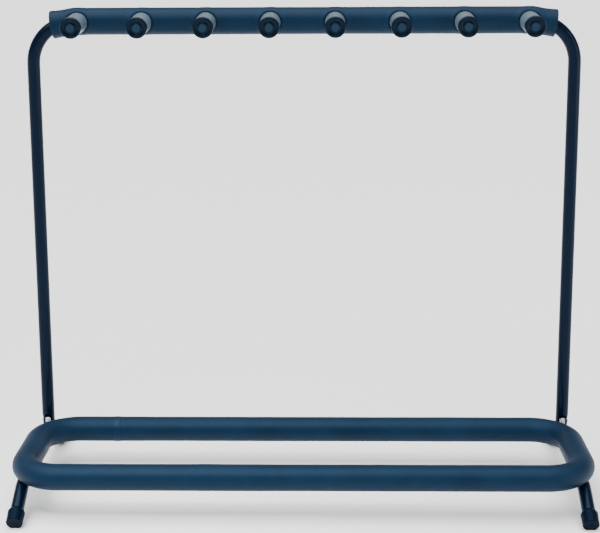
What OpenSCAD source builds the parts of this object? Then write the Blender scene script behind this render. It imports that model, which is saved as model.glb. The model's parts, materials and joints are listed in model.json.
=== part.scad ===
// Folding guitar rack: an inverted-U neck frame with padded pegs, hinged to a padded ring on two legs.
// X runs along the rack, +Y points to the back, +Z is up. The floor is z = 0, under the middle of the feet.

/* [Neck frame] */
// Distance between the two uprights, centre to centre
frame_w = 840; // [760:10:900]
// Height of the top bar's centre line
bar_z = 713; // [660:1:760]
// How far the top bar sits behind the middle of the feet
bar_y = 118; // [110:1:130]
// Centre-line radius of the neck frame's bends
bend_r = 65; // [60:1:70]

/* [Tube and foam] */
// Outside diameter of every steel tube
tube_d = 20; // [19:0.5:21]
// Wall thickness of the steel tube
tube_wall = 1.5; // [1.2:0.1:2]
// Outside diameter of the foam on the top bar
bar_foam_d = 41.5; // [40:0.5:43]
// Outside diameter of the foam on the cradle ring
ring_foam_d = 39.5; // [37:0.5:40]

/* [Neck pegs] */
// Number of pegs along the top bar
peg_count = 8; // [8:1:8]
// Distance from peg to peg
peg_pitch = 99; // [92:1:99]
// Outside diameter of a peg's foam sleeve
peg_d = 31.5; // [28:0.5:33]
// Distance from the top bar's centre line to the face of a peg's cap
peg_reach = 80; // [70:1:90]
// How far a peg points below level, in degrees
peg_droop = 4.5; // [0:0.5:6]

/* [Cradle ring] */
// Width of the ring, centre to centre of its short sides
ring_w = 840; // [830:2:852]
// Centre-line radius of the ring's four corners
ring_bend_r = 60; // [56:1:66]
// Centre line of the ring's rear bar, behind the middle of the feet
ring_rear_y = 68; // [60:1:68]
// Centre line of the ring's front bar, in front of the middle of the feet
ring_front_y = 137; // [130:1:145]
// Height of the ring's centre line
ring_z = 64; // [64:0.5:66]

/* [Legs] */
// Distance between the two leg tubes, centre to centre
leg_w = 837; // [834:1:842]
// Half the level run of a leg tube, from the middle of the feet to its bends
leg_run = 103; // [100:1:105]
// Slope of a leg's end, in degrees
leg_slope = 27.3; // [26.5:0.1:28]
// Reach of a foot's end face, from the middle of the feet
foot_y = 180; // [179:1:182]

/* [Pivots] */
// Height of the folding pivots
pivot_z = 71; // [70:0.5:73]
// How far the pivots sit behind the middle of the feet
pivot_y = 95; // [94:1:98]
// Diameter of a pivot bolt
bolt_d = 6; // [5:0.5:6]

/* [Hidden] */
$fn = 96;
over = 1;                     // a cut runs this far past the face it opens
lap = 1;                      // a sloping stretch starts this far inside its bend...
step = 0.02;                  // ...and is this much thinner, so that no faces coincide
slip = 0.05;                  // radial clearance of a shank in its hole
foam_slip = 0.15;             // radial clearance of a foam bore on its tube
tube_r = tube_d / 2;
bore_r = tube_r - tube_wall;
bar_foam_r = bar_foam_d / 2;
ring_foam_r = ring_foam_d / 2;

// Neck frame: its own upright axis starts at the pivots and leans back
lean = atan2(bar_y - pivot_y, bar_z - pivot_z);
rise = norm([bar_y - pivot_y, bar_z - pivot_z]);
bar_half = frame_w / 2 - bend_r;     // half of the straight top bar
solid_end = 24;                      // length of the closed, forged end above a pivot

// Foam on the top bar: straight, then a short dip over the start of each bend
dip_angle = 8;
dip_start = bar_half - 4;
dip_len = 38;
dip_lap = 4;
dip_thinner = 0.4;

// Pegs
stud_r = 5;
stud_cope = 2;                       // a stud starts this deep in the bar, before it is coped
boss_skin = 2;                       // thickness of a cap over its stud
sleeve_r = peg_d / 2;
cap_h = 9;
cap_wall_recess = 2.2;
cap_boss_r = 6;
sleeve_seat = bar_foam_r - 1.6;      // the sleeves press this deep into the bar's foam
sleeve_end = peg_reach - cap_h;
stud_end = peg_reach - cap_wall_recess - boss_skin;
cap_rim = 2.2;
cap_round = 1.6;

// Ring
ring_half = ring_w / 2;
ring_depth = ring_rear_y + ring_front_y;
ring_mid_y = (ring_rear_y - ring_front_y) / 2;
joint_x = -302;                      // where the ring's ends meet
joint_gap = 0.6;
spigot_len = 70;
rivet_r = 3;
band_w = 9;
band_wall = 0.45;

// Legs
leg_half = leg_w / 2;
leg_z = ring_z - tube_d - 0.2;
leg_bend_r = 40;
leg_turn_y = leg_run + leg_bend_r * tan(leg_slope / 2);
boot_r = 12.2;
boot_len = 24;
boot_base = 5;
boot_shoulder_r = 12.8;
boot_shoulder_h = 3.5;
boot_mouth_r = 11;
leg_drop_start = leg_run + leg_bend_r * sin(leg_slope);
leg_drop_len = (foot_y - leg_drop_start) / cos(leg_slope) - boot_base;
weld_r = 3.4;
weld_len = 36;
weld_pitch = 70;
weld_spread = 5.4;                   // a bead's distance from the middle of the valley pair
weld_mid = (ring_half - leg_half) / 2;

// Pivots: distances along X from an upright's centre line, outwards positive
fork_r = tube_r + 0.3;
slot_half = 4.8;
slot_top = 6;
flat_x = 7.9;
ramp_top = 15;                       // the outer flat has run out into the round tube here
lug_out = 4.4;
lug_in = -0.3;
lug_eye_r = 6;
lug_neck_half = 5.4;
lug_neck_z = 2;
lug_foot_half = 7.8;
lug_foot_z = leg_z + 6;
washer_t = 1;
washer_out = lug_in - 0.3;
nut_out = washer_out - washer_t;
nut_af = 10;
bolt_r = bolt_d / 2;
bolt_in = -8.3;
head_r = 5.25;
head_h = 2.2;
head_edge = 1.2;                     // the straight part of a bolt head, before it tapers
head_top_r = 3.8;
socket_af = 4;
socket_depth = 1.4;

// Stop tabs behind the uprights
tab_t = 4;
tab_w = 14;
tab_top = 30;
tab_drop = 18;
tab_gap = 0.6;

STEEL = [0.05, 0.07, 0.11];
FOAM = [0.10, 0.15, 0.22];
GREY = [0.45, 0.48, 0.50];
BLACK = [0.05, 0.06, 0.08];
ZINC = [0.75, 0.78, 0.80];

// ---- shared shapes ----

// Draws its children on the right, or mirrored on the left
module on_side(side) {
    if (side > 0) children();
    else mirror([1, 0, 0]) children();
}

// Draws its children at the back, or mirrored at the front
module on_end(end) {
    if (end > 0) children();
    else mirror([0, 1, 0]) children();
}

// A bend of a round bar: from +X round to the given angle, in the XY plane
module bend(radius, r, angle) {
    rotate_extrude(angle = angle) translate([radius, 0]) circle(r = r);
}

// Puts its children in the neck frame's own axes, with the pivots on its X axis
module lean_back() {
    translate([0, pivot_y, pivot_z]) rotate([-lean, 0, 0]) children();
}

// The inverted U of the neck frame as a round bar of radius r, from height foot up
module frame_bar(r, foot) {
    for (side = [-1, 1]) on_side(side) {
        translate([frame_w / 2, 0, foot]) cylinder(r = r, h = rise - bend_r - foot);
        translate([bar_half, 0, rise - bend_r]) rotate([90, 0, 0]) bend(bend_r, r, 90);
    }
    translate([-bar_half, 0, rise]) rotate([0, 90, 0]) cylinder(r = r, h = 2 * bar_half);
}

// The closed ring as a round bar of radius r
module ring_bar(r) {
    translate([0, ring_mid_y, ring_z]) for (side = [-1, 1]) on_side(side) {
        for (end = [-1, 1]) on_end(end) {
            translate([ring_half - ring_bend_r, ring_depth / 2 - ring_bend_r, 0]) bend(ring_bend_r, r, 90);
            translate([0, ring_depth / 2, 0]) rotate([0, 90, 0]) cylinder(r = r, h = ring_half - ring_bend_r);
            translate([ring_half, 0, 0]) rotate([-90, 0, 0])
                cylinder(r = r, h = ring_depth / 2 - ring_bend_r);
        }
    }
}

// One leg as a round bar of radius r, on the right, its two ends sloping down
module leg_bar(r, extra = 0) {
    translate([leg_half, 0, leg_z]) for (end = [-1, 1]) on_end(end) {
        rotate([-90, 0, 0]) cylinder(r = r, h = leg_run);
        translate([0, leg_run, -leg_bend_r]) {
            rotate([0, -90, 0]) bend(leg_bend_r, r, leg_slope);
            rotate([-leg_slope, 0, 0]) translate([0, -lap, leg_bend_r]) rotate([-90, 0, 0])
                cylinder(r = r - step, h = leg_drop_len + lap + extra);
        }
    }
}

// Weld beads in the valleys between a leg and the ring above it, grown by a margin
module weld_beads(grow = 0) {
    for (k = [-1, 1]) for (s = [-1, 1])
        translate([leg_half + weld_mid + s * weld_spread, ring_mid_y + k * weld_pitch / 2,
                   (ring_z + leg_z) / 2])
            rotate([90, 0, 0]) cylinder(r = weld_r + grow, h = weld_len + 2 * grow, center = true);
}

// Centre of peg i, counted from the left
function peg_x(i) = (i - (peg_count + 1) / 2) * peg_pitch;

// Puts its children on peg i: +Z runs out along the peg from the top bar's centre line
module on_peg(i) {
    translate([peg_x(i), bar_y, bar_z]) rotate([90 + peg_droop, 0, 0]) children();
}

// Puts its children at a pivot: +X points outwards, +Z up along the upright
module at_pivot(side) {
    on_side(side) lean_back() translate([frame_w / 2, 0, 0]) children();
}

// ---- neck frame ----

// What is cut from one upright's end: the slot, the outer flat, the rounded tip and the bolt hole
module fork_cut() {
    translate([-slot_half, -tube_d, -tube_d]) cube([2 * slot_half, 2 * tube_d, tube_d + slot_top]);
    translate([0, 0, slot_top]) rotate([90, 0, 0]) cylinder(r = slot_half, h = 2 * tube_d, center = true);
    rotate([90, 0, 0]) linear_extrude(2 * tube_d, center = true)
        polygon([[flat_x, -tube_d], [flat_x, slot_top], [tube_r + over, ramp_top],
                 [tube_d, ramp_top], [tube_d, -tube_d]]);
    translate([-tube_d, 0, 0]) rotate([0, 90, 0]) cylinder(r = bolt_r + slip, h = 2 * tube_d);
}

// The rounded tip of an upright, below its pivot
module fork_tip() {
    intersection() {
        translate([0, 0, -tube_d]) cylinder(r = tube_r, h = tube_d);
        rotate([0, 90, 0]) cylinder(r = fork_r, h = 3 * tube_d, center = true);
    }
}

module neck_frame_tube() {
    color(STEEL) lean_back() difference() {
        union() {
            frame_bar(tube_r, 0);
            for (side = [-1, 1]) on_side(side) translate([frame_w / 2, 0, 0]) fork_tip();
        }
        frame_bar(bore_r, solid_end);
        for (side = [-1, 1]) on_side(side) translate([frame_w / 2, 0, 0]) fork_cut();
    }
}

// The outside of the top bar's foam: a straight stretch, and a slightly thinner dipped end on each side
module bar_foam_body() {
    translate([-dip_start, 0, rise]) rotate([0, 90, 0]) cylinder(r = bar_foam_r, h = 2 * dip_start);
    for (side = [-1, 1]) on_side(side) translate([dip_start, 0, rise])
        rotate([0, 90 + dip_angle, 0]) translate([0, 0, -dip_lap])
            cylinder(r = bar_foam_r - dip_thinner, h = dip_len + dip_lap);
}

module neck_bar_foam() {
    color(FOAM) difference() {
        lean_back() difference() {
            bar_foam_body();
            frame_bar(tube_r + foam_slip, rise / 2);
        }
        for (i = [1:peg_count]) on_peg(i) {
            cylinder(r = stud_r + foam_slip, h = 2 * bar_foam_r);
            translate([0, 0, sleeve_seat]) cylinder(r = sleeve_r + foam_slip, h = bar_foam_r);
        }
    }
}

// A steel stud, coped to the top bar and welded to it
module peg_stud(i) {
    color(ZINC) difference() {
        on_peg(i) translate([0, 0, tube_r - stud_cope]) cylinder(r = stud_r, h = stud_end - tube_r + stud_cope);
        translate([0, bar_y, bar_z]) rotate([0, 90, 0]) cylinder(r = tube_r, h = frame_w, center = true);
    }
}

module peg_sleeve(i) {
    color(GREY) on_peg(i) difference() {
        translate([0, 0, sleeve_seat]) cylinder(r = sleeve_r, h = sleeve_end - sleeve_seat);
        cylinder(r = stud_r + foam_slip, h = peg_reach);
    }
}

// A moulded end cap: a thick disc with a raised rim and a central boss, pushed onto the stud
module peg_cap(i) {
    color(BLACK) on_peg(i) difference() {
        rotate_extrude() difference() {
            union() {
                translate([0, sleeve_end]) square([sleeve_r, cap_h - cap_round]);
                translate([0, sleeve_end]) square([sleeve_r - cap_round, cap_h]);
                translate([sleeve_r - cap_round, peg_reach - cap_round]) circle(r = cap_round);
            }
            translate([cap_boss_r, peg_reach - cap_wall_recess])
                square([sleeve_r - cap_rim - cap_boss_r, cap_wall_recess + over]);
        }
        translate([0, 0, sleeve_end - over]) cylinder(r = stud_r, h = stud_end - sleeve_end + over);
    }
}

// ---- pivots ----

module pivot_bolt(side) {
    color(ZINC) at_pivot(side) difference() {
        union() {
            translate([bolt_in, 0, 0]) rotate([0, 90, 0]) cylinder(r = bolt_r, h = flat_x - bolt_in);
            translate([flat_x, 0, 0]) rotate([0, 90, 0]) cylinder(r = head_r, h = head_edge);
            translate([flat_x + head_edge, 0, 0]) rotate([0, 90, 0])
                cylinder(r1 = head_r, r2 = head_top_r, h = head_h - head_edge);
        }
        translate([flat_x + head_h - socket_depth, 0, 0]) rotate([0, 90, 0])
            cylinder(d = socket_af / cos(30), h = socket_depth + over, $fn = 6);
    }
}

module pivot_nut(side) {
    color(ZINC) at_pivot(side) difference() {
        translate([-slot_half, 0, 0]) rotate([0, 90, 0])
            cylinder(d = nut_af / cos(30), h = nut_out + slot_half, $fn = 6);
        translate([-slot_half - over, 0, 0]) rotate([0, 90, 0]) cylinder(r = bolt_r + slip, h = 2 * slot_half);
    }
}

module pivot_washer(side) {
    color(ZINC) at_pivot(side) difference() {
        translate([nut_out, 0, 0]) rotate([0, 90, 0]) cylinder(r = lug_eye_r, h = washer_t);
        translate([nut_out - over, 0, 0]) rotate([0, 90, 0])
            cylinder(r = bolt_r + slip, h = washer_t + 2 * over);
    }
}

// A steel eye plate that stands on the leg and carries the pivot bolt
module hinge_lug(side) {
    color(ZINC) on_side(side) difference() {
        translate([frame_w / 2 + lug_in, pivot_y, pivot_z]) rotate([90, 0, 90]) {
            cylinder(r = lug_eye_r, h = lug_out - lug_in);
            linear_extrude(lug_out - lug_in)
                polygon([[-lug_neck_half, lug_neck_z], [lug_neck_half, lug_neck_z],
                         [lug_foot_half, lug_foot_z - pivot_z], [-lug_foot_half, lug_foot_z - pivot_z]]);
        }
        translate([frame_w / 2, pivot_y, pivot_z]) rotate([0, 90, 0])
            cylinder(r = bolt_r + slip, h = 4 * tube_d, center = true);
        leg_bar(tube_r);
    }
}

// ---- cradle ----

// The slit where the ring's two ends meet
module joint_slit(gap) {
    translate([joint_x, ring_rear_y, ring_z]) cube([gap, 2 * ring_foam_d, 2 * ring_foam_d], center = true);
}

module ring_tube() {
    color(STEEL) difference() {
        ring_bar(tube_r);
        ring_bar(bore_r);
        joint_slit(joint_gap);
        rivet_bodies();
    }
}

module ring_spigot() {
    color(ZINC) difference() {
        translate([joint_x - spigot_len / 2, ring_rear_y, ring_z]) rotate([0, 90, 0])
            cylinder(r = bore_r - slip, h = spigot_len);
        translate([joint_x - spigot_len, ring_rear_y, ring_z]) rotate([0, 90, 0])
            cylinder(r = bore_r - 2, h = 2 * spigot_len);
        rivet_bodies();
    }
}

// Two round plugs, one each side of the joint, that pin the ring's ends to the spigot
module rivet_bodies() {
    for (s = [-1, 1])
        translate([joint_x + s * spigot_len / 4, ring_rear_y, ring_z - tube_r])
            cylinder(r = rivet_r, h = bore_r);
}

module ring_rivets() {
    color(ZINC) intersection() {
        rivet_bodies();
        ring_bar(tube_r - slip);
    }
}

module cradle_foam() {
    color(FOAM) difference() {
        ring_bar(ring_foam_r);
        ring_bar(tube_r + foam_slip);
        joint_slit(joint_gap);
        for (side = [-1, 1]) on_side(side) {
            leg_bar(tube_r + foam_slip);
            weld_beads(foam_slip);
        }
    }
}

module foam_joint_band() {
    color(BLACK) translate([joint_x - band_w / 2, ring_rear_y, ring_z]) rotate([0, 90, 0]) difference() {
        cylinder(r = ring_foam_r + slip + band_wall, h = band_w);
        translate([0, 0, -over]) cylinder(r = ring_foam_r + slip, h = band_w + 2 * over);
    }
}

module leg_tube(side) {
    color(STEEL) on_side(side) difference() {
        leg_bar(tube_r);
        leg_bar(bore_r, over);
    }
}

module leg_welds(side) {
    color(STEEL) on_side(side) difference() {
        weld_beads();
        leg_bar(tube_r);
        ring_bar(tube_r);
    }
}

// A stop tab behind each upright: the upright leans on its front face
module stop_tab(side) {
    color(STEEL) on_side(side) difference() {
        lean_back() translate([(frame_w - tab_w) / 2, tube_r + tab_gap, -tab_drop])
            cube([tab_w, tab_t, tab_top + tab_drop]);
        leg_bar(tube_r);
    }
}

// A rubber boot on a leg's end, with a sloping mouth, its lowest edge worn flat on the floor
module boot(side, end) {
    color(BLACK) on_side(side) on_end(end) difference() {
        translate([leg_half, foot_y, leg_z - (foot_y - leg_turn_y) * tan(leg_slope)])
            rotate([90 - leg_slope, 0, 0]) rotate_extrude()
                polygon([[0, 0], [boot_r, 0], [boot_shoulder_r, boot_len - boot_shoulder_h],
                         [boot_mouth_r, boot_len], [tube_r + slip, boot_len],
                         [tube_r + slip, boot_base], [0, boot_base]]);
        translate([leg_half - tube_d, 0, -tube_d]) cube([2 * tube_d, 2 * foot_y, tube_d]);
    }
}

neck_frame_tube();
neck_bar_foam();
for (i = [1:peg_count]) {
    peg_stud(i);
    peg_sleeve(i);
    peg_cap(i);
}
pivot_bolt(-1);  // pivot_bolt_left
pivot_bolt(1);  // pivot_bolt_right
pivot_nut(-1);  // pivot_nut_left
pivot_nut(1);  // pivot_nut_right
pivot_washer(-1);  // pivot_washer_left
pivot_washer(1);  // pivot_washer_right
ring_tube();
ring_spigot();
ring_rivets();
cradle_foam();
foam_joint_band();
leg_tube(-1);  // leg_tube_left
leg_tube(1);  // leg_tube_right
leg_welds(-1);  // leg_welds_left
leg_welds(1);  // leg_welds_right
hinge_lug(-1);  // hinge_lug_left
hinge_lug(1);  // hinge_lug_right
stop_tab(-1);  // stop_tab_left
stop_tab(1);  // stop_tab_right
boot(-1, -1);  // boot_front_left
boot(1, -1);  // boot_front_right
boot(-1, 1);  // boot_rear_left
boot(1, 1);  // boot_rear_right
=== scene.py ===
# %% [markdown]
# # A folding guitar rack
# This rack is made of bent steel tube. A padded ring stands on two legs and carries the guitars,
# and an inverted U behind it holds the guitars' necks between eight pegs. The design model already
# has every tube, bolt and boot at its real size. This notebook gives each one a finish, and models
# the soft parts again in more detail: the foam, the peg sleeves, the end caps and the boots.

# %% Load the frame
import bpy
import bmesh
import json
import math
from mathutils import Vector, Matrix, noise


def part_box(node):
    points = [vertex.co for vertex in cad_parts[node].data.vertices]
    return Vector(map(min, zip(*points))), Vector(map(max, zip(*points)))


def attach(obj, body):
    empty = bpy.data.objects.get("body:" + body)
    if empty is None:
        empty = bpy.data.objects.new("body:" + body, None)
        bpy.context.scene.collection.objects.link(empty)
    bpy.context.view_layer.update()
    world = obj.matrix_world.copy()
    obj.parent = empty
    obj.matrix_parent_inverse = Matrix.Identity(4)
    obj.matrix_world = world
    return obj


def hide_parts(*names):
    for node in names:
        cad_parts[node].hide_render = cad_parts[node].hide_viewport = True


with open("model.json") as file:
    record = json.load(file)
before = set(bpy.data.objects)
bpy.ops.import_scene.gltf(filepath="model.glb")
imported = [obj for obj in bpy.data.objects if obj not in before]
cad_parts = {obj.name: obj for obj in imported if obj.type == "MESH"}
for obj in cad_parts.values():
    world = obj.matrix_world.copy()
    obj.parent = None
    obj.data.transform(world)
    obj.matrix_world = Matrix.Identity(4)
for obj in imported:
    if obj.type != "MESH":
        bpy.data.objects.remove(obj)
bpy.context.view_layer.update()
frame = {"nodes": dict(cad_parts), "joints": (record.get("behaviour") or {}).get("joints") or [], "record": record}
NODES = frame["nodes"]
PEGS = 8
MM = 0.001

# %% [markdown]
# ## Measures taken from the frame
# The boxes of the design's own nodes say where the bars and pegs run, so the detailed pieces land
# where the plain ones were. What a box can't tell, such as a bend's radius, is written here with
# the design's own value. The frame is in metres, so MM turns a drawing's figure into one.

# %% Measures of the ring and legs
RING_LOW, RING_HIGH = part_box("cradle_foam")
LEG_LOW, LEG_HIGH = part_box("leg_tube_right")

TUBE_R = 10 * MM
RING_BEND_R = 60 * MM
RING_FOAM_R = (RING_HIGH[2] - RING_LOW[2]) / 2
RING_Z = (RING_HIGH[2] + RING_LOW[2]) / 2
RING_HALF = RING_HIGH[0] - RING_FOAM_R
RING_REAR = RING_HIGH[1] - RING_FOAM_R
RING_FRONT = RING_LOW[1] + RING_FOAM_R

LEG_X = (LEG_LOW[0] + LEG_HIGH[0]) / 2
LEG_Z = RING_Z - 2 * TUBE_R - 0.2 * MM
LEG_RUN = 103 * MM
LEG_BEND_R = 40 * MM
LEG_SLOPE = math.radians(27.3)
print(f"ring {2 * RING_HALF:.3f} m wide and {RING_REAR - RING_FRONT:.3f} m deep, centre line")

# %% [markdown]
# The neck frame leans back a little on its stops, so its angle is worked out from the pivot and the
# bar. The pegs' pitch and thickness come from the boxes of their caps.

# %% Measures of the neck frame
TUBE_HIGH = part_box("neck_frame_tube")[1]
PIVOT = Vector(frame["joints"][0]["pos_m"])
BEND_R = 65 * MM
UPRIGHT_X = TUBE_HIGH[0] - TUBE_R
BAR_Z = TUBE_HIGH[2] - TUBE_R
BAR_Y = TUBE_HIGH[1] - TUBE_R
BAR_FOAM_R = 20.75 * MM
LEAN = math.atan2(BAR_Y - PIVOT.y, BAR_Z - PIVOT.z)

FIRST_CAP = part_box("peg_cap_1")
PEG_PITCH = (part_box(f"peg_cap_{PEGS}")[0][0] - FIRST_CAP[0][0]) / (PEGS - 1)
PEG_R = (FIRST_CAP[1][0] - FIRST_CAP[0][0]) / 2
PEG_REACH = 80 * MM
PEG_DROOP = math.radians(4.5)
print(f"uprights {2 * UPRIGHT_X:.3f} m apart, bar at {BAR_Z:.3f} m, "
      f"pegs {PEG_PITCH / MM:.1f} mm apart")

# %% [markdown]
# ## Camera
# The camera comes first, so that every later choice is seen from the same place. A long lens,
# set low and tipped a little down, keeps the uprights almost parallel.

# %% Camera
LENS_MM = 80.64
SENSOR_MM = 36
CAMERA_AT = Vector((0.0350, -1.9875, 0.8252))
CAMERA_PITCH = math.radians(13.42)
CAMERA_YAW = math.radians(-1.124)
CAMERA_ROLL = math.radians(-0.264)


def make_camera():
    data = bpy.data.cameras.new("camera")
    data.sensor_width = SENSOR_MM
    data.lens = LENS_MM
    cam = bpy.data.objects.new("camera", data)
    turn = (Matrix.Rotation(-CAMERA_YAW, 4, "Z")
            @ Matrix.Rotation(math.pi / 2 - CAMERA_PITCH, 4, "X")
            @ Matrix.Rotation(CAMERA_ROLL, 4, "Z"))
    cam.matrix_world = Matrix.Translation(CAMERA_AT) @ turn
    bpy.context.scene.collection.objects.link(cam)
    bpy.context.scene.camera = cam
    return cam


camera = make_camera()
print("lens", round(camera.data.lens, 1), "mm")

# %% [markdown]
# ## Shader maths as expressions
# A material's pattern is arithmetic on positions and noises. A small class wraps a node's output,
# so `1 - mask * 0.5` writes the Math nodes for us, and one method makes every other node. A value
# that never changes over the surface is set on the shader directly and needs no node.

# %% A node's output, with arithmetic


class Sock:
    """One node output, which takes part in sums, differences and products."""

    def __init__(self, shader, out):
        self.shader = shader
        self.out = out

    def _math(self, op, a, b):
        return self.shader.node("ShaderNodeMath", {"operation": op}, {0: a, 1: b})

    def __add__(self, b):
        return self._math("ADD", self, b)

    __radd__ = __add__

    def __sub__(self, b):
        return self._math("SUBTRACT", self, b)

    def __rsub__(self, b):
        return self._math("SUBTRACT", b, self)

    def __mul__(self, b):
        return self._math("MULTIPLY", self, b)

    __rmul__ = __mul__


print("a socket can be added, subtracted and multiplied")

# %% [markdown]
# The shader class holds one Principled BSDF. Its methods are the few patterns that every finish
# here is made of: a noise, a grey ramp, a blend of two colours and a bump.

# %% A material, with short ways to feed it


class Shader:
    """A material with one Principled BSDF. Constants are named as its sockets, with _ for space."""

    def __init__(self, name, **constants):
        self.mat = bpy.data.materials.new(name)
        self.mat.use_nodes = True
        self.tree = self.mat.node_tree
        self.bsdf = self.tree.nodes["Principled BSDF"]
        for socket, value in constants.items():
            self.bsdf.inputs[socket.replace("_", " ")].default_value = value
        self.place = self.node("ShaderNodeTexCoord", {}, {}, "Object")

    def node(self, kind, settings, inputs, output=0):
        """Any node: its settings first, then the values or links of its sockets."""
        n = self.tree.nodes.new(kind)
        for key, value in settings.items():
            if key == "stops":
                ramp = n.color_ramp
                while len(ramp.elements) < len(value):
                    ramp.elements.new(0.5)
                for element, (pos, shade) in zip(ramp.elements, value):
                    element.position = pos
                    element.color = (shade, shade, shade, 1)
            else:
                setattr(n, key, value)
        for key, value in inputs.items():
            if isinstance(value, Sock):
                self.tree.links.new(value.out, n.inputs[key])
            else:
                n.inputs[key].default_value = value
        return Sock(self, n.outputs[output])

    def feed(self, socket, value):
        self.tree.links.new(value.out, self.bsdf.inputs[socket])

    def stretched(self, x, y, z):
        """Object coordinates, scaled by axis, for a pattern that runs along one of them."""
        return self.node("ShaderNodeMapping", {"vector_type": "POINT"},
                         {"Vector": self.place, "Scale": (x, y, z)})

    def noise(self, scale, detail=3.0, rough=0.55, where=None):
        return self.node("ShaderNodeTexNoise", {},
                         {"Vector": where or self.place, "Scale": scale, "Detail": detail,
                          "Roughness": rough}, "Fac")

    def ramp(self, value, *stops):
        """A grey ramp. Each stop is (position, shade)."""
        return self.node("ShaderNodeValToRGB", {"stops": stops}, {"Fac": value}, "Color")

    def mix(self, factor, a, b):
        """A blend of two colours, each a link or three numbers. A colour's sockets come after the
        ones for numbers and vectors, which share their names, so they are picked by index."""
        first, second = (c if isinstance(c, Sock) else (*c, 1) for c in (a, b))
        return self.node("ShaderNodeMix", {"data_type": "RGBA"},
                         {0: factor, 6: first, 7: second}, 2)

    def bump(self, height, strength, distance):
        self.feed("Normal", self.node("ShaderNodeBump", {},
                                      {"Height": height, "Strength": strength,
                                       "Distance": distance}, "Normal"))


print("a shader is fed by name, such as Base Color or Roughness")

# %% [markdown]
# ## Navy foam
# Closed-cell foam has a thin smooth skin: matt, with a soft bloom at grazing angles, a leathery
# grain and faint rings round the tube, from the die it was pressed through. Flat colour would look
# like plastic, so a cloud noise shifts the tone, and a few pale rubs sit on top. All dark finishes
# here share a cool tint on their shine, because a neutral shine turns deep blue to grey.

# %% Foam finish
FOAM_DARK = (0.0009, 0.0078, 0.0215)
FOAM_LIGHT = (0.0026, 0.0138, 0.0335)
DUST = (0.05, 0.06, 0.07)
COOL = (0.38, 0.68, 1.0, 1)
BLOOM = (0.42, 0.55, 0.75, 1)


def foam_finish():
    s = Shader("navy_foam_finish", Specular_IOR_Level=0.2, Specular_Tint=COOL,
               Sheen_Weight=0.02, Sheen_Roughness=0.5, Sheen_Tint=BLOOM)
    cloud = s.noise(14, 4, 0.6)
    fine = s.noise(620, 3, 0.6)
    tone = s.ramp(cloud, (0.3, 0.0), (0.72, 1.0))
    rubs = s.ramp(s.noise(46, 5, 0.72), (0.66, 0.0), (0.80, 0.35))
    s.feed("Base Color", s.mix(rubs * 0.35, s.mix(tone, FOAM_DARK, FOAM_LIGHT), DUST))
    s.feed("Roughness", 0.44 + cloud * 0.14 + fine * 0.06)
    pores = s.node("ShaderNodeTexVoronoi", {"feature": "F1"},
                   {"Vector": s.place, "Scale": 900}, "Distance")
    creases = s.noise(150, 4, 0.65)
    rings = s.noise(300, 3, 0.6, s.stretched(1, 0.10, 0.10))
    s.bump(pores * 0.35 + creases * 0.6 + rings * 0.8 + fine * 0.25, 0.32, 0.35 * MM)
    return s.mat


FOAM = foam_finish()
print("made", FOAM.name)

# %% [markdown]
# ## Gloss paint
# The tubes are powder painted: glossy over a slight orange peel, with scuffs that run along the
# uprights. The peel is too small to model, so it is bump only.

# %% Paint finish
PAINT_DARK = (0.0002, 0.0020, 0.0085)
PAINT_LIGHT = (0.0004, 0.0040, 0.0150)


def paint_finish():
    s = Shader("gloss_paint_finish", Specular_IOR_Level=0.11, Specular_Tint=COOL,
               Coat_Weight=0.06, Coat_Roughness=0.08)
    peel = s.noise(260, 2, 0.5)
    tone = s.noise(9, 3, 0.5)
    scuffs = s.ramp(s.noise(70, 6, 0.8, s.stretched(1, 1, 0.18)), (0.70, 0.0), (0.78, 1.0))
    s.feed("Base Color", s.mix(scuffs * 0.25, s.mix(tone, PAINT_DARK, PAINT_LIGHT), DUST))
    s.feed("Roughness", 0.24 + tone * 0.10 + scuffs * 0.25)
    s.bump(peel, 0.10, 0.2 * MM)
    return s.mat


PAINT = paint_finish()
print("made", PAINT.name)

# %% [markdown]
# ## Zinc plate
# The pivot bolts, nuts, washers and lugs are plated: a bright metal with a cloudy bloom, and fine
# brush marks along X, made by squeezing a noise along that axis.

# %% Zinc finish
ZINC_DULL = (0.60, 0.66, 0.70)
ZINC_BRIGHT = (0.86, 0.89, 0.90)


def zinc_finish():
    s = Shader("zinc_plate_finish", Metallic=1.0)
    cloud = s.noise(180, 4, 0.6)
    brushed = s.noise(900, 2, 0.5, s.stretched(0.15, 1, 1))
    s.feed("Base Color", s.mix(cloud, ZINC_DULL, ZINC_BRIGHT))
    s.feed("Roughness", 0.22 + cloud * 0.16)
    s.bump(brushed, 0.12, 0.1 * MM)
    return s.mat


ZINC = zinc_finish()
print("made", ZINC.name)

# %% [markdown]
# ## Grey vinyl foam
# The peg sleeves are a smoother, paler foam with a satin skin. Hands and guitars leave dark marks
# and streaks on them, which two more noises draw.

# %% Vinyl finish
VINYL_DARK = (0.058, 0.092, 0.118)
VINYL_LIGHT = (0.110, 0.154, 0.186)
VINYL_MARK = (0.022, 0.034, 0.046)


def vinyl_finish():
    s = Shader("grey_vinyl_finish", Specular_IOR_Level=0.5, Coat_Weight=0.25, Coat_Roughness=0.16)
    cloud = s.noise(60, 4, 0.6)
    marks = s.ramp(s.noise(170, 5, 0.75), (0.62, 0.0), (0.75, 1.0))
    streaks = s.noise(240, 4, 0.7, s.stretched(1, 0.12, 1))
    base = s.mix(cloud * 0.5 + streaks * 0.5, VINYL_DARK, VINYL_LIGHT)
    s.feed("Base Color", s.mix(marks * 0.4, base, VINYL_MARK))
    s.feed("Roughness", 0.30 + cloud * 0.14 + marks * 0.12)
    s.bump(s.noise(420, 3, 0.55) + marks * 0.4, 0.14, 0.3 * MM)
    return s.mat


VINYL = vinyl_finish()
print("made", VINYL.name)

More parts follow.
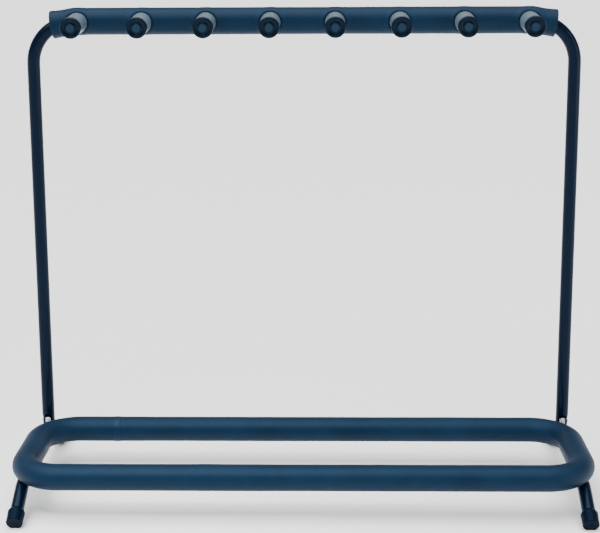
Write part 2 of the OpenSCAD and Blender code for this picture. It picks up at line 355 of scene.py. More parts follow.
# %% [markdown]
# ## Moulded plastic and rubber
# The end caps and the boots are mouldings that differ in colour, shine and grain, so one function
# makes both. A cap's centre boss is painted paler than its rim: a painted highlight for the light
# its flat face catches. The mesh marks it with an attribute, which the finish reads, so the edge
# stays sharp on every copy.

# %% Cap and boot finishes
CAP_DARK = (0.0001, 0.0014, 0.0055)
CAP_LIGHT = (0.0003, 0.0030, 0.0100)
# The boss colour is a painted highlight, paler than the cap, for the light on the boss's flat face.
CAP_BOSS_HIGHLIGHT = (0.009, 0.023, 0.041)
BOOT_DARK = (0.0001, 0.0018, 0.0070)
BOOT_LIGHT = (0.0003, 0.0034, 0.0110)


def moulded_finish(name, dark, light, rough, grain_scale, shine, boss=None):
    """Moulded plastic or rubber. A mesh may mark its boss, which gets a painted highlight: a paler colour for the
    light its flat face catches.
    """
    s = Shader(name, Specular_IOR_Level=shine, Specular_Tint=COOL)
    cloud = s.noise(90, 3, 0.6)
    grain = s.noise(grain_scale, 3, 0.6)
    scuff = s.ramp(s.noise(130, 6, 0.8), (0.64, 0.0), (0.78, 1.0))
    base = s.mix(scuff * 0.3, s.mix(cloud, dark, light), DUST)
    # Painted highlight: the boss is blended towards a paler colour, for the light its flat face catches.
    if boss:
        highlight_mask = s.node("ShaderNodeAttribute", {"attribute_name": "boss"}, {}, "Fac")
        base = s.mix(highlight_mask * (1 - (1 - cloud) * 0.45), base, boss)
    s.feed("Base Color", base)
    s.feed("Roughness", rough + cloud * 0.12 + scuff * 0.15)
    s.bump(grain + scuff * 0.3, 0.22, 0.25 * MM)
    return s.mat


CAP = moulded_finish("cap_plastic_finish", CAP_DARK, CAP_LIGHT, rough=0.24, grain_scale=700,
                     shine=0.2, boss=CAP_BOSS_HIGHLIGHT)
BOOT = moulded_finish("boot_rubber_finish", BOOT_DARK, BOOT_LIGHT, rough=0.42, grain_scale=900,
                      shine=0.08)
print("made", CAP.name, "and", BOOT.name)

# %% [markdown]
# ## Tape
# A narrow band closes the joint in the ring's foam. It is a shade bluer and smoother than the foam,
# which is all that tells it apart.

# %% Tape finish
TAPE_DARK = (0.0012, 0.0105, 0.030)
TAPE_LIGHT = (0.0024, 0.0155, 0.040)


def tape_finish():
    s = Shader("joint_tape_finish", Specular_IOR_Level=0.2, Specular_Tint=COOL)
    cloud = s.noise(120, 3, 0.6)
    s.feed("Base Color", s.mix(cloud, TAPE_DARK, TAPE_LIGHT))
    s.feed("Roughness", 0.38 + cloud * 0.15)
    s.bump(s.noise(500, 2, 0.5), 0.1, 0.1 * MM)
    return s.mat


TAPE = tape_finish()
print("made", TAPE.name)

# %% [markdown]
# ## Finish the design's own pieces
# The tubes, bolts, lugs and tabs have the right shape already. Each keeps its mesh and gets the
# finish of its slot.

# %% Assign finishes to the design's nodes
SLOT_FINISH = {"gloss_paint": PAINT, "zinc_plate": ZINC, "navy_foam": FOAM, "joint_tape": TAPE,
               "grey_foam": VINYL, "cap_plastic": CAP, "boot_rubber": BOOT}


def finish_cad_nodes():
    slots = {s["node"]: s["material_slot"] for s in frame["record"]["subparts"]}
    for name, obj in NODES.items():
        finish = SLOT_FINISH[slots[name]]
        if not obj.material_slots:
            obj.data.materials.append(finish)
        for index in range(len(obj.material_slots)):
            obj.material_slots[index].material = finish
    return len(slots)


print("finished", finish_cad_nodes(), "nodes")

# %% [markdown]
# ## Making meshes
# Every new piece needs the same few things: an object with its one finish, normals that point
# outwards, and smooth shading with its true edges kept. A piece made with modifiers is read back
# as a plain mesh, because only plain meshes are exported.

# %% New objects and meshes
SMOOTH_ANGLE = math.radians(40)


def new_object(name, mesh, finish):
    obj = bpy.data.objects.new(name, mesh)
    bpy.context.scene.collection.objects.link(obj)
    mesh.materials.clear()
    mesh.materials.append(finish)
    return obj


def finish_mesh(bm, name, smooth_angle=SMOOTH_ANGLE):
    bmesh.ops.recalc_face_normals(bm, faces=bm.faces[:])
    mesh = bpy.data.meshes.new(name)
    bm.to_mesh(mesh)
    bm.free()
    mesh.shade_smooth()
    mesh.set_sharp_from_angle(angle=smooth_angle)
    return mesh


def evaluated_mesh(obj):
    """The object's mesh with its modifiers carried out."""
    bpy.context.view_layer.update()
    return bpy.data.meshes.new_from_object(
        obj.evaluated_get(bpy.context.evaluated_depsgraph_get()))


def smooth_step(x):
    x = max(0.0, min(1.0, x))
    return x * x * (3 - 2 * x)


print("edges under", round(math.degrees(SMOOTH_ANGLE)), "degrees are shaded smooth")

# %% [markdown]
# ## A swept tube
# Foam on a tube is a sweep: a circle carried along a centre line. We build it point by point,
# because each ring of points can then be nudged by a rule, for a crease here or a dent there. A
# path is a list of (point, side) pairs, where side is the direction that stays in the bend's plane.

# %% Sweep


def sweep(path, around, radius_at):
    """Rows of points round each path point. radius_at(i, angle, centre) gives the radius there.
    Angle 0 points to the path's side vector, and 90 degrees to tangent x side."""
    bm = bmesh.new()
    rows = []
    for i, (centre, side) in enumerate(path):
        ahead = path[min(i + 1, len(path) - 1)][0]
        behind = path[max(i - 1, 0)][0]
        other = (ahead - behind).normalized().cross(side).normalized()
        row = []
        for k in range(around):
            a = 2 * math.pi * k / around
            r = radius_at(i, a, centre)
            row.append(bm.verts.new(centre + (side * math.cos(a) + other * math.sin(a)) * r))
        rows.append(row)
    for one, two in zip(rows, rows[1:]):
        for k in range(around):
            m = (k + 1) % around
            bm.faces.new((one[k], two[k], two[m], one[m]))
    return bm, rows


def close_end(bm, row, centre, inward, rings, hole_r):
    """A cut end, from the edge row down to a cap inside. Each ring is (how far it stays out from
    hole_r to the edge, how deep it lies)."""
    around = len(row)
    last = row
    for fraction, depth in rings:
        ring = []
        for vert in row:
            out = vert.co - centre
            target = hole_r + (out.length - hole_r) * fraction
            ring.append(bm.verts.new(centre + out.normalized() * target + inward * depth))
        for k in range(around):
            m = (k + 1) % around
            bm.faces.new((last[k], last[m], ring[m], ring[k]))
        last = ring
    bm.faces.new(last)


print("a sweep's sides are counted round from its side vector")

# %% [markdown]
# ## The foam on the ring
# The real sleeve is one long foam tube, pushed round the ring before the ring's ends were joined.
# Its two ends meet at the back on the left, under a narrow band of tape. Inside each corner the
# foam is squeezed into small creases, and along each short side it is slit from below, where the
# leg is welded to the ring. The sweep makes the tube and creases, and a boolean makes the slit.

# %% The ring's centre line
JOINT_LOW, JOINT_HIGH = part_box("foam_joint_band")
JOINT_X = (JOINT_LOW[0] + JOINT_HIGH[0]) / 2
JOINT_GAP = 0.3 * MM
RING_STEP = 3.2 * MM


def ring_path():
    """Centre line of the ring from one side of the joint round to the other, with the side vector
    pointing into the ring, and how much each point is inside a bend."""
    flat = RING_HALF - RING_BEND_R
    rear, front = RING_REAR - RING_BEND_R, RING_FRONT + RING_BEND_R
    corners = [(Vector((flat, rear, RING_Z)), math.pi / 2),
               (Vector((flat, front, RING_Z)), 0.0),
               (Vector((-flat, front, RING_Z)), -math.pi / 2),
               (Vector((-flat, rear, RING_Z)), -math.pi)]
    forward = Vector((0, -1, 0))
    points = [(Vector((JOINT_X + JOINT_GAP, RING_REAR, RING_Z)), forward, 0.0)]

    def straight_to(end, side):
        start = points[-1][0]
        steps = max(1, round((end - start).length / RING_STEP))
        for i in range(1, steps + 1):
            points.append((start.lerp(end, i / steps), side, 0.0))

    for centre, start_angle in corners:
        out = Vector((math.cos(start_angle), math.sin(start_angle), 0))
        straight_to(centre + out * RING_BEND_R, -out)
        steps = round(RING_BEND_R * math.pi / 2 / (RING_STEP * 0.5))
        for i in range(1, steps + 1):
            a = start_angle - math.pi / 2 * i / steps
            out = Vector((math.cos(a), math.sin(a), 0))
            points.append((centre + out * RING_BEND_R, -out, math.sin(math.pi * i / steps)))
    straight_to(Vector((JOINT_X - JOINT_GAP, RING_REAR, RING_Z)), forward)
    return points


def along(points):
    """How far along the path each point lies."""
    total, out = 0.0, [0.0]
    for a, b in zip(points, points[1:]):
        total += (b[0] - a[0]).length
        out.append(total)
    return out


RING_PATH = ring_path()
RING_ALONG = along(RING_PATH)
print(f"the ring's foam is {RING_ALONG[-1]:.2f} m long")

# %% [markdown]
# The slit is the shape of the leg itself, a little larger. So the cutter is the same sweep, run
# along the leg: two sloping ends, two bends and the straight between them.

# %% A cutter for the leg slits
SLIT_GAP = 0.35 * MM
LEG_TAIL = 30 * MM
CUTTER_AROUND = 64
CUTTER_BEND_STEPS = 6


def leg_cutter(sign):
    """A plain bar that follows one leg, a little thicker than it, to slit the foam with."""
    side = Vector((1, 0, 0))

    def bend_point(a, end):
        return Vector((sign * LEG_X, end * (LEG_RUN + LEG_BEND_R * math.sin(a)),
                       LEG_Z - LEG_BEND_R * (1 - math.cos(a))))

    def tail_point(end):
        slope = Vector((0, end * math.cos(LEG_SLOPE), -math.sin(LEG_SLOPE)))
        return bend_point(LEG_SLOPE, end) + slope * LEG_TAIL

    turns = [LEG_SLOPE * i / CUTTER_BEND_STEPS for i in range(CUTTER_BEND_STEPS + 1)]
    line = [tail_point(-1), *(bend_point(a, -1) for a in reversed(turns)),
            *(bend_point(a, 1) for a in turns), tail_point(1)]
    bm, rows = sweep([(point, side) for point in line], CUTTER_AROUND,
                     lambda i, a, c: TUBE_R + SLIT_GAP)
    bm.faces.new(list(reversed(rows[0])))
    bm.faces.new(rows[-1])
    return new_object("leg_cutter", finish_mesh(bm, "leg_cutter"), FOAM)


print("slits are", round(2 * (TUBE_R + SLIT_GAP) / MM, 1), "mm wide")

# %% [markdown]
# The radius is the only thing that varies along the sleeve, so one function holds all of its
# character. The creases are a sine along the path, stronger where the bend is and on its inner
# side, with a noise that keeps them from being even.

# %% Ring foam
RING_AROUND = 72
SKIN_IN = 0.1 * MM
SKIN_WAVE = 0.22 * MM
SKIN_RIPPLE = 0.12 * MM
WAVE_SCALE = 9
RIPPLE_SCALE = 40
PATCH_SCALE = 38
CREASE_DEEP = 0.22 * MM
CREASE_LONG = 7.5 * MM
END_ROUND = 1.2 * MM
RING_HOLE_R = TUBE_R + 0.3 * MM
RING_END = ((0.5, 0.0), (0.02, 0.0), (0.02, 2 * MM))


def ring_radius(i, angle, centre):
    """The foam's radius: a slow wave, a fine ripple, creases inside the bends, rounded ends."""
    inside = RING_PATH[i][2] * max(0.0, math.cos(angle)) ** 2
    across = Vector((math.cos(angle), math.sin(angle), 0))
    wave = noise.noise(centre * WAVE_SCALE) * SKIN_WAVE
    wave += noise.noise(centre * RIPPLE_SCALE + across * 0.8) * SKIN_RIPPLE
    patch = 0.5 + 0.9 * noise.noise(centre * PATCH_SCALE + Vector((0, 0, math.sin(angle))))
    turn = 2 * math.pi * RING_ALONG[i] / CREASE_LONG + 1.3 * math.sin(3 * angle)
    crease = patch * inside * CREASE_DEEP * (math.sin(turn) - 0.6)
    end = min(RING_ALONG[i], RING_ALONG[-1] - RING_ALONG[i], END_ROUND)
    rounding = END_ROUND * (1 - math.sqrt(max(0.0, 1 - (1 - end / END_ROUND) ** 2)))
    return RING_FOAM_R - SKIN_IN + wave + crease - rounding


def make_ring_foam():
    bm, rows = sweep([(p[0], p[1]) for p in RING_PATH], RING_AROUND, ring_radius)
    close_end(bm, rows[0], RING_PATH[0][0], Vector((1, 0, 0)), RING_END, RING_HOLE_R)
    close_end(bm, rows[-1], RING_PATH[-1][0], Vector((-1, 0, 0)), RING_END, RING_HOLE_R)
    foam = new_object("ring_foam", finish_mesh(bm, "ring_foam"), FOAM)
    for sign in (-1, 1):
        cutter = leg_cutter(sign)
        cut = foam.modifiers.new("slit", "BOOLEAN")
        cut.operation = "DIFFERENCE"
        cut.solver = "EXACT"
        cut.object = cutter
        solid = evaluated_mesh(foam)
        foam.modifiers.clear()
        foam.data = solid
        bpy.data.objects.remove(cutter)
    foam.data.materials.clear()
    foam.data.materials.append(FOAM)
    for polygon in foam.data.polygons:
        polygon.material_index = 0
    foam.data.shade_smooth()
    foam.data.set_sharp_from_angle(angle=SMOOTH_ANGLE)
    return foam


ring_foam = make_ring_foam()
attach(ring_foam, "cradle")
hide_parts("cradle_foam")
print("ring foam faces:", len(ring_foam.data.polygons))

# %% [markdown]
# ## The foam on the top bar
# This sleeve is cut to length. Its ends dip over the start of each bend, so the tube leaves low in
# the cut face. Each peg presses a shallow seat into the foam, which swells a little round it.

# %% The top bar's centre line
DIP_START = UPRIGHT_X - BEND_R - 4 * MM
DIP_LEN = 38 * MM
DIP_EASE = 14 * MM
DIP_ANGLE = math.radians(8)
BAR_STEP = 1.8 * MM
LEAN_BACK = Matrix.Rotation(-LEAN, 4, "X")


def bar_path():
    """Centre line of the foam, straight along the bar and dipping at both ends."""
    half = DIP_START + DIP_LEN * math.cos(DIP_ANGLE)
    steps = round(2 * half / BAR_STEP)
    side = LEAN_BACK @ Vector((0, -1, 0))
    path = []
    for i in range(steps + 1):
        x = -half + 2 * half * i / steps
        over = max(0.0, abs(x) - DIP_START)
        drop = over * math.tan(DIP_ANGLE) * smooth_step(over / DIP_EASE)
        path.append((LEAN_BACK @ Vector((x, 0, -drop)) + Vector((0, BAR_Y, BAR_Z)), side))
    return path


BAR_PATH = bar_path()
print(f"the top bar's foam is {BAR_PATH[-1][0].x - BAR_PATH[0][0].x:.3f} m wide")

# %% [markdown]
# A peg's seat and the swelling round it depend on the distance from the peg's side, so they bend
# round the foam as they should, whatever angle the peg has.

# %% Top bar foam
BAR_AROUND = 96
BAR_WAVE_SCALE = 11
BAR_RIPPLE_SCALE = 45
PEG_AXIS = Vector((0, -math.cos(PEG_DROOP), -math.sin(PEG_DROOP)))
PEG_ROOTS = [Vector(((i - (PEGS - 1) / 2) * PEG_PITCH, BAR_Y, BAR_Z)) for i in range(PEGS)]
FLARE = 0.7 * MM
FLARE_LONG = 12 * MM
EDGE_IN = 0.45 * MM
EDGE_LONG = 0.7 * MM
SEAT_DEPTH = 1.9 * MM
SEAT_START = 1.0 * MM
SEAT_LONG = 1.6 * MM
SWELL = 0.9 * MM
SWELL_REACH = 9 * MM
SWELL_PEAK = 2.5 * MM
SWELL_LONG = 4.0 * MM
SWELL_START = 0.5 * MM
SWELL_RISE = 2 * MM
BAR_HOLE_R = 2 * MM
BAR_END = ((0.72, -0.05 * MM), (0.44, 0.0), (0.20, 0.25 * MM), (0.05, 1.2 * MM))


def peg_press(point):
    """How far the foam stands out or in at a point, from the pegs that press on it."""
    press = 0.0
    for root in PEG_ROOTS:
        away = point - root
        if abs(away.x) > PEG_R + SWELL_REACH or away.dot(PEG_AXIS) < 0:
            continue
        reach = (away - PEG_AXIS * away.dot(PEG_AXIS)).length - PEG_R
        if reach < SWELL_REACH:
            swell = SWELL * math.exp(-((reach - SWELL_PEAK) / SWELL_LONG) ** 2)
            press += swell * smooth_step((reach + SWELL_START) / SWELL_RISE)
            press -= SEAT_DEPTH * (1 - smooth_step((reach + SEAT_START) / SEAT_LONG))
    return press


def bar_radius(i, angle, centre):
    """The foam's radius: a wave and ripple, flared ends with a soft edge, and the peg seats."""
    side = BAR_PATH[i][1]
    other = Vector((1, 0, 0)).cross(side)
    out = side * math.cos(angle) + other * math.sin(angle)
    end = min((centre - BAR_PATH[0][0]).length, (centre - BAR_PATH[-1][0]).length)
    r = BAR_FOAM_R - SKIN_IN
    r += noise.noise(centre * BAR_WAVE_SCALE) * SKIN_WAVE
    r += noise.noise(centre * BAR_RIPPLE_SCALE + out * 0.9) * SKIN_RIPPLE
    r += FLARE * (1 - smooth_step(end / FLARE_LONG))
    r -= EDGE_IN * (1 - smooth_step(end / EDGE_LONG))
    return r + peg_press(centre + out * r)


def make_bar_foam():
    bm, rows = sweep(BAR_PATH, BAR_AROUND, bar_radius)
    close_end(bm, rows[0], BAR_PATH[0][0], Vector((1, 0, 0)), BAR_END, BAR_HOLE_R)
    close_end(bm, rows[-1], BAR_PATH[-1][0], Vector((-1, 0, 0)), BAR_END, BAR_HOLE_R)
    return new_object("bar_foam", finish_mesh(bm, "bar_foam"), FOAM)


bar_foam = make_bar_foam()
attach(bar_foam, "neck_frame")
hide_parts("neck_bar_foam")
print("bar foam faces:", len(bar_foam.data.polygons))

# %% [markdown]
# ## Turned shapes
# A peg's sleeve, its end cap and a rubber boot are all turned shapes: one outline carried round an
# axis. The outline is a list of (radius, height) points, with arcs for the rounded edges.

# %% Lathe
LATHE_AROUND = 64
LATHE_SMOOTH = math.radians(50)


def arc(cx, cz, r, start, end, steps=5):
    """Points of an arc in the outline's plane, with angles in degrees."""
    return [(cx + r * math.cos(math.radians(start + (end - start) * i / steps)),
             cz + r * math.sin(math.radians(start + (end - start) * i / steps)))
            for i in range(steps + 1)]


def lathe(outline, name):
    """A closed turned solid. The outline starts and ends on the axis, with radius 0."""
    bm = bmesh.new()
    turns = [2 * math.pi * k / LATHE_AROUND for k in range(LATHE_AROUND)]
    rows = [[bm.verts.new((r * math.cos(a), r * math.sin(a), z)) for a in turns]
            for r, z in outline[1:-1]]
    for one, two in zip(rows, rows[1:]):
        for k in range(LATHE_AROUND):
            m = (k + 1) % LATHE_AROUND
            bm.faces.new((one[k], one[m], two[m], two[k]))
    for (_, z), row in ((outline[0], rows[0]), (outline[-1], rows[-1])):
        tip = bm.verts.new((0, 0, z))
        for k in range(LATHE_AROUND):
            bm.faces.new((row[k], row[(k + 1) % LATHE_AROUND], tip))
    return finish_mesh(bm, name, LATHE_SMOOTH)


print("turned shapes have", LATHE_AROUND, "sides")

# %% [markdown]
# ## Pegs, repeated by Geometry Nodes
# Eight equal pegs stand in a row. One sleeve and one cap are modelled, and a Geometry Nodes tree
# puts a copy on each point of a line. Count, pitch and tilt are inputs, so a longer rack is one
# number away. The copies are made real at the end, because an export keeps only real meshes.

# %% Row tree
SPIN_SEED = 7
RANDOM_MAX = 3                       # the float Max socket of Random Value
PEG_START = (-(PEGS - 1) / 2 * PEG_PITCH, BAR_Y, BAR_Z)


def row_tree(base, finish):
    """The tree, and the identifiers of its inputs by name."""
    tree = bpy.data.node_groups.new("row_of_pegs", "GeometryNodeTree")
    face = tree.interface
    face.new_socket("Geometry", in_out="OUTPUT", socket_type="NodeSocketGeometry")
    ids = {}
    for name, kind in (("Count", "NodeSocketInt"), ("Pitch", "NodeSocketFloat"),
                       ("Start", "NodeSocketVector"), ("Tilt", "NodeSocketFloat")):
        ids[name] = face.new_socket(name, in_out="INPUT", socket_type=kind).identifier

    def add(kind, **inputs):
        n = tree.nodes.new(kind)
        for key, value in inputs.items():
            socket = n.inputs[key.replace("_", " ")]
            if hasattr(value, "links"):
                tree.links.new(value, socket)
            else:
                socket.default_value = value
        return n

    given = tree.nodes.new("NodeGroupInput").outputs
    offset = add("ShaderNodeCombineXYZ", X=given["Pitch"])
    line = add("GeometryNodeMeshLine", Count=given["Count"], Start_Location=given["Start"],
               Offset=offset.outputs[0])
    turn = add("ShaderNodeCombineXYZ", X=given["Tilt"])
    spin = tree.nodes.new("FunctionNodeRandomValue")
    spin.data_type = "FLOAT"
    spin.inputs[RANDOM_MAX].default_value = 2 * math.pi
    spin.inputs["Seed"].default_value = SPIN_SEED
    own = add("ShaderNodeCombineXYZ", Z=spin.outputs[1])
    euler_turn = add("FunctionNodeEulerToRotation", Euler=turn.outputs[0])
    euler_own = add("FunctionNodeEulerToRotation", Euler=own.outputs[0])
    both = tree.nodes.new("FunctionNodeRotateRotation")
    both.rotation_space = "LOCAL"
    tree.links.new(euler_turn.outputs[0], both.inputs["Rotation"])
    tree.links.new(euler_own.outputs[0], both.inputs["Rotate By"])
    source = tree.nodes.new("GeometryNodeObjectInfo")
    source.inputs["Object"].default_value = base
    copies = add("GeometryNodeInstanceOnPoints", Points=line.outputs[0],
                 Instance=source.outputs["Geometry"], Rotation=both.outputs[0])
    real = add("GeometryNodeRealizeInstances", Geometry=copies.outputs[0])
    paint = add("GeometryNodeSetMaterial", Geometry=real.outputs[0])
    paint.inputs["Material"].default_value = finish
    out = tree.nodes.new("NodeGroupOutput")
    tree.links.new(paint.outputs[0], out.inputs[0])
    return tree, ids


print("the row starts at x =", round(PEG_START[0], 3))

# %% [markdown]
# A modifier's inputs are set by identifier, and all of them before the object is first evaluated.

# %% The row as a plain mesh


def row_of(base_mesh, name, finish):
    """A copy of a turned shape on each peg's axis, as one plain mesh."""
    base = new_object(name + "_one", base_mesh, finish)
    tree, ids = row_tree(base, finish)
    holder = new_object(name, bpy.data.meshes.new(name), finish)
    mod = holder.modifiers.new("row", "NODES")
    mod.node_group = tree
    mod[ids["Count"]] = PEGS
    mod[ids["Pitch"]] = PEG_PITCH
    mod[ids["Start"]] = PEG_START
    mod[ids["Tilt"]] = math.pi / 2 + PEG_DROOP
    mesh = evaluated_mesh(holder)
    holder.modifiers.clear()
    holder.data = mesh
    bpy.data.objects.remove(base)
    return holder


print("each row has", PEGS, "copies")

# %% [markdown]
# ## Peg sleeves
# Each stud wears a foam sleeve, pressed into the bar's foam at its foot and held by a cap at its
# tip. The sleeve is a little slimmer in the middle, and both its edges are rounded, because a
# sharp edge catches no light.

# %% Peg sleeves
SLEEVE_FOOT = 18.3 * MM
SLEEVE_IN = 0.15 * MM
SLEEVE_LIP = 0.8 * MM
SLEEVE_WAIST = 0.25 * MM
SLEEVE_ROWS = 10
CAP_H = 9 * MM
SLEEVE_TIP = PEG_REACH - CAP_H


def sleeve_outline():
    r = PEG_R - SLEEVE_IN
    lip = SLEEVE_LIP
    points = [(0, SLEEVE_FOOT), (r - lip, SLEEVE_FOOT)]
    points += arc(r - lip, SLEEVE_FOOT + lip, lip, -90, 0)
    for i in range(1, SLEEVE_ROWS):
        t = i / SLEEVE_ROWS
        z = SLEEVE_FOOT + lip + (SLEEVE_TIP - SLEEVE_FOOT - 2 * lip) * t
        points.append((r - SLEEVE_WAIST * math.sin(math.pi * t), z))
    points += arc(r - lip, SLEEVE_TIP - lip, lip, 0, 90)
    points.append((0, SLEEVE_TIP))
    return points


sleeves = row_of(lathe(sleeve_outline(), "peg_sleeve"), "peg_sleeves", VINYL)
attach(sleeves, "neck_frame")
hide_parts(*[f"peg_sleeve_{i}" for i in range(1, PEGS + 1)])
print("sleeves:", len(sleeves.data.polygons), "faces")

# %% [markdown]
# ## Peg caps
# A cap is a moulding with a parting groove round its side, a rounded rim, a well in its end and a
# round boss in the middle of the well. The outline runs from the foot, up the side, over the rim,
# down the well and up the boss to the axis.

# %% Peg caps
CAP_RIM = 2.6 * MM
CAP_EDGE = 1.5 * MM
CAP_LIP = 0.5 * MM
CAP_GROOVE = 0.35 * MM
CAP_WELL = 2.4 * MM
WELL_GROOVE_IN = 4.0 * MM
BOSS_R = 6.4 * MM
BOSS_EDGE = 0.7 * MM
BOSS_SUNK = 0.4 * MM
BOSS_HIGHLIGHT_DEPTH = 1.5 * MM


def cap_outline():
    r = PEG_R
    top = PEG_REACH
    floor = top - CAP_WELL
    foot = SLEEVE_TIP + 0.1 * MM
    points = [(0, foot), (r - CAP_LIP, foot), (r, foot + CAP_LIP)]
    points += [(r, foot + 2.2 * MM), (r - CAP_GROOVE, foot + 2.5 * MM),
               (r - CAP_GROOVE, foot + 3.0 * MM), (r, foot + 3.3 * MM)]
    points += arc(r - CAP_EDGE, top - CAP_EDGE, CAP_EDGE, 0, 90, 6)
    inner = r - CAP_RIM
    points += arc(inner, top - CAP_LIP, CAP_LIP, 90, 180, 4)
    points += [(inner - 0.7 * MM, floor + 0.4 * MM), (inner - 1.2 * MM, floor)]
    groove = inner - WELL_GROOVE_IN
    points += [(groove + 0.6 * MM, floor), (groove + 0.3 * MM, floor - CAP_GROOVE),
               (groove - 0.3 * MM, floor - CAP_GROOVE), (groove - 0.6 * MM, floor)]
    points += [(BOSS_R + 0.5 * MM, floor), (BOSS_R + 0.15 * MM, floor + 0.3 * MM)]
    points += arc(BOSS_R - BOSS_EDGE, top - CAP_LIP - BOSS_EDGE, BOSS_EDGE, 0, 90, 4)
    points += [(BOSS_R * 0.6, top - BOSS_SUNK - 0.02 * MM), (BOSS_R * 0.25, top - BOSS_SUNK),
               (0, top - BOSS_SUNK)]
    return points


def cap_mesh():
    """The turned cap, with its boss marked so that the finish can paint a highlight on it."""
    mesh = lathe(cap_outline(), "peg_cap")
    # This mark says where the boss's painted highlight goes.
    highlight_mask = mesh.attributes.new("boss", "FLOAT", "POINT")
    for vert, value in zip(mesh.vertices, highlight_mask.data):
        out = math.hypot(vert.co.x, vert.co.y)
        on_boss = out < BOSS_R * 0.99 and vert.co.z > PEG_REACH - BOSS_HIGHLIGHT_DEPTH
        value.value = 1.0 if on_boss else 0.0
    return mesh


caps = row_of(cap_mesh(), "peg_caps", CAP)
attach(caps, "neck_frame")
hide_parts(*[f"peg_cap_{i}" for i in range(1, PEGS + 1)])
print("caps:", len(caps.data.polygons), "faces")

# %% [markdown]
# ## Rubber boots
# A boot is a short cup pushed onto the leg's sloping end. It widens a little to a soft shoulder,
# which slopes in to the tube at its mouth. Where it meets the floor the rubber is flattened, so
# every point that would lie below the floor is lifted onto it.

# %% Boots
BOOT_R = 12.2 * MM
BOOT_LEN = 24 * MM
BOOT_EDGE = 1.1 * MM
BOOT_WAIST = 0.12 * MM
BOOT_CUP = 6 * MM
BOOT_ROWS = 8
SHOULDER_R = 12.8 * MM
SHOULDER_H = 3.5 * MM
SHOULDER_ROUND = 1.5 * MM
MOUTH_R = 11 * MM
FOOT_Y = 180 * MM


def boot_outline():
    mouth = BOOT_LEN - 0.2 * MM
    wall_top = BOOT_LEN - SHOULDER_H - SHOULDER_ROUND
    bore = TUBE_R + 0.05 * MM
    points = [(0, 0.0), (BOOT_R * 0.55, 0.0), (BOOT_R - BOOT_EDGE, 0.0)]
    points += arc(BOOT_R - BOOT_EDGE, BOOT_EDGE, BOOT_EDGE, -90, 0)
    for i in range(1, BOOT_ROWS):
        t = i / BOOT_ROWS
        r = BOOT_R + (SHOULDER_R - BOOT_R) * t - BOOT_WAIST * math.sin(math.pi * t)
        points.append((r, BOOT_EDGE + (wall_top - BOOT_EDGE) * t))
    points += arc(SHOULDER_R - SHOULDER_ROUND, BOOT_LEN - SHOULDER_H - 0.6 * MM,
                  SHOULDER_ROUND, 0, 55)
    points += [(MOUTH_R + 0.25 * MM, mouth - 0.5 * MM), (MOUTH_R - 0.1 * MM, mouth)]
    points += [(TUBE_R + 0.35 * MM, mouth), (bore, mouth - 0.4 * MM)]
    points += [(bore, BOOT_LEN - BOOT_CUP), (0, BOOT_LEN - BOOT_CUP)]
    return points


def make_boot(side, end):
    """One boot. side is -1 for left, end is -1 for front."""
    name = f"boot_{'rear' if end > 0 else 'front'}_{'right' if side > 0 else 'left'}"
    mesh = lathe(boot_outline(), name + "_rubber")
    slope_start = LEG_RUN + LEG_BEND_R * math.tan(LEG_SLOPE / 2)
    foot = Vector((side * LEG_X, end * FOOT_Y,
                   LEG_Z - (FOOT_Y - slope_start) * math.tan(LEG_SLOPE)))
    up_leg = Vector((0, -end * math.cos(LEG_SLOPE), math.sin(LEG_SLOPE)))
    across = Vector((1, 0, 0))
    turn = Matrix((across, up_leg.cross(across), up_leg)).transposed().to_4x4()
    mesh.transform(Matrix.Translation(foot) @ turn)
    for vert in mesh.vertices:
        vert.co.z = max(vert.co.z, 0.0)
    mesh.update()
    boot = new_object(name + "_rubber", mesh, BOOT)
    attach(boot, "cradle")
    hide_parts(name)
    return boot


boots = [make_boot(side, end) for side in (-1, 1) for end in (-1, 1)]
print("boots:", [b.name for b in boots])

# %% [markdown]
# ## The room
# A pale floor that runs into a pale background, and large soft lights, give the long quiet
# highlights of a sales catalogue. None of this belongs to the rack. The floor is large, so that
# its edge lies near the horizon.

# %% Floor
FLOOR_SIZE = 60.0
FLOOR_COLOUR = (0.93, 0.935, 0.94, 1)


def make_floor():
    mesh = bpy.data.meshes.new("floor")
    s = FLOOR_SIZE / 2
    mesh.from_pydata([(-s, -s, 0), (s, -s, 0), (s, s, 0), (-s, s, 0)], [], [(0, 1, 2, 3)])
    pale = Shader("pale_floor", Roughness=0.9, Base_Color=FLOOR_COLOUR)
    floor = new_object("floor", mesh, pale.mat)
    return floor


floor = make_floor()
print("floor:", FLOOR_SIZE, "m square")

# %% [markdown]
# ## The background
# A studio's paper sweep is bright low down and darker above. The world's strength follows the
# direction's height in the same way, from the horizon up to a dim sky, so the floor's far edge
# melts into it.

# %% Background
HORIZON_STRENGTH = 1.9
SKY_STRENGTH = 0.40
SKY_HEIGHT = 0.22


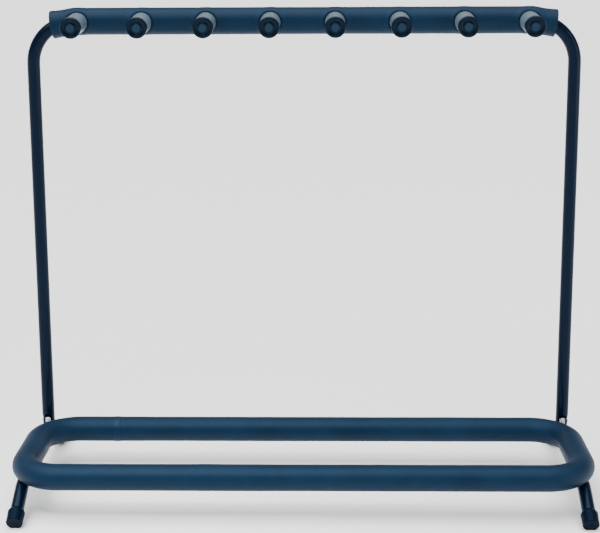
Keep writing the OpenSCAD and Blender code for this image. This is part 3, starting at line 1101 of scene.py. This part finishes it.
def make_world():
    world = bpy.data.worlds.new("studio")
    world.use_nodes = True
    nodes, links = world.node_tree.nodes, world.node_tree.links
    place = nodes.new("ShaderNodeTexCoord")
    axes = nodes.new("ShaderNodeSeparateXYZ")
    fade = nodes.new("ShaderNodeMapRange")
    fade.inputs["From Max"].default_value = SKY_HEIGHT
    fade.inputs["To Min"].default_value = HORIZON_STRENGTH
    fade.inputs["To Max"].default_value = SKY_STRENGTH
    links.new(place.outputs["Generated"], axes.inputs[0])
    links.new(axes.outputs["Z"], fade.inputs["Value"])
    links.new(fade.outputs["Result"], nodes["Background"].inputs["Strength"])
    nodes["Background"].inputs["Color"].default_value = (1.0, 1.0, 1.0, 1)
    bpy.context.scene.world = world


make_world()
print("background strength", HORIZON_STRENGTH, "to", SKY_STRENGTH)

# %% [markdown]
# ## The lights
# Four lights, each for one highlight. A very wide sun stands for a white ceiling. The overhead
# strip draws the line along the top of the bars. The narrow key brightens the left of the front
# rail. The side strip draws the edge on the right of each tube.

# %% Lights


def add_lamp(name, data):
    lamp = bpy.data.objects.new(name, data)
    bpy.context.scene.collection.objects.link(lamp)
    return lamp


def soft_light(name, at, towards, size, watts, spread=180):
    data = bpy.data.lights.new(name, "AREA")
    data.shape = "RECTANGLE"
    data.size, data.size_y = size
    data.energy = watts
    data.spread = math.radians(spread)
    lamp = add_lamp(name, data)
    lamp.location = at
    lamp.rotation_euler = (Vector(towards) - Vector(at)).to_track_quat("-Z", "Y").to_euler()


def wide_sun(name, strength, width, turn):
    data = bpy.data.lights.new(name, "SUN")
    data.energy = strength
    data.angle = math.radians(width)
    add_lamp(name, data).rotation_euler = [math.radians(a) for a in turn]


wide_sun("ceiling", strength=6.0, width=75, turn=(12, -10, 0))
soft_light("overhead", at=(-0.2, -0.5, 2.6), towards=(0, 0, 0.3), size=(2.6, 0.8), watts=10)
soft_light("left_key", at=(-0.62, -1.3, 2.3), towards=(-0.24, -0.22, 0.08), size=(0.5, 0.4),
           watts=1.2, spread=32)
soft_light("side_strip", at=(2.6, -1.2, 1.2), towards=(0, 0, 0.4), size=(0.5, 1.8), watts=22)

# %% [markdown]
# ## End

# %% End
print("end of the script")
